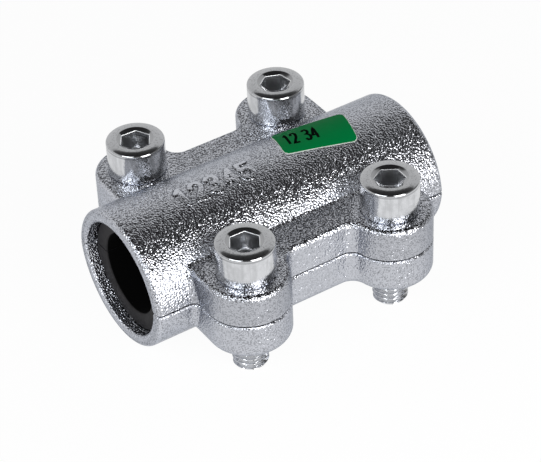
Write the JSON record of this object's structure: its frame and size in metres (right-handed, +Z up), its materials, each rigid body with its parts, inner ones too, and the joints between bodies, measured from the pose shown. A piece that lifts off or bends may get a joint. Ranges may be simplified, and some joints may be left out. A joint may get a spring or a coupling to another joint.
{
  "type": "pipe repair clamp",
  "caption": "Two-part cast clamp with a slit rubber sleeve inside, drawn together round a plastic pipe by socket head cap screws through bossed flanges.",
  "frame": {"origin": "centre of the pipe bore, halfway along the barrel, on the parting plane between the two halves", "axes": "+X along the pipe, +Y across it from the front bosses to the rear bosses, +Z up towards the screw heads"},
  "size_m": [0.074, 0.0628, 0.0329],
  "materials": {
    "cast_zinc": "rough cast skin under bright zinc plating",
    "screw_zinc": "bright zinc plated",
    "black_rubber": "smooth, satin",
    "green_label": "glossy printed film"
  },
  "bodies": {
    "lower_half": {"lower_shell": "cast_zinc", "sleeve": "black_rubber"},
    "upper_half": {"upper_shell": "cast_zinc", "size_label": "green_label"},
    "front_left_screw": {"front_left_screw": "screw_zinc"},
    "rear_left_screw": {"rear_left_screw": "screw_zinc"},
    "rear_right_screw": {"rear_right_screw": "screw_zinc"},
    "front_right_screw": {"front_right_screw": "screw_zinc"}
  },
  "joints": [
    {"name": "shell_lift", "type": "slide", "parent": "lower_half", "child": "upper_half", "axis": [0, 0, 1], "range_m": [0, 0.015]},
    {"name": "front_left_turn", "type": "hinge", "parent": "upper_half", "child": "front_left_screw", "pos_m": [-0.0184, -0.02202, 0.00795], "axis": [0, 0, 1], "range_deg": [0, 4320]},
    {"name": "rear_left_turn", "type": "hinge", "parent": "upper_half", "child": "rear_left_screw", "pos_m": [-0.0184, 0.02202, 0.00795], "axis": [0, 0, 1], "range_deg": [0, 4320]},
    {"name": "rear_right_turn", "type": "hinge", "parent": "upper_half", "child": "rear_right_screw", "pos_m": [0.0184, 0.02202, 0.00795], "axis": [0, 0, 1], "range_deg": [0, 4320]},
    {"name": "front_right_turn", "type": "hinge", "parent": "upper_half", "child": "front_right_screw", "pos_m": [0.0184, -0.02202, 0.00795], "axis": [0, 0, 1], "range_deg": [0, 4320]}
  ],
  "couplings": [
    {"joint": "front_left_turn", "follows": "shell_lift", "rad_per_m": 5026.5},
    {"joint": "rear_left_turn", "follows": "shell_lift", "rad_per_m": 5026.5},
    {"joint": "rear_right_turn", "follows": "shell_lift", "rad_per_m": 5026.5},
    {"joint": "front_right_turn", "follows": "shell_lift", "rad_per_m": 5026.5}
  ]
}
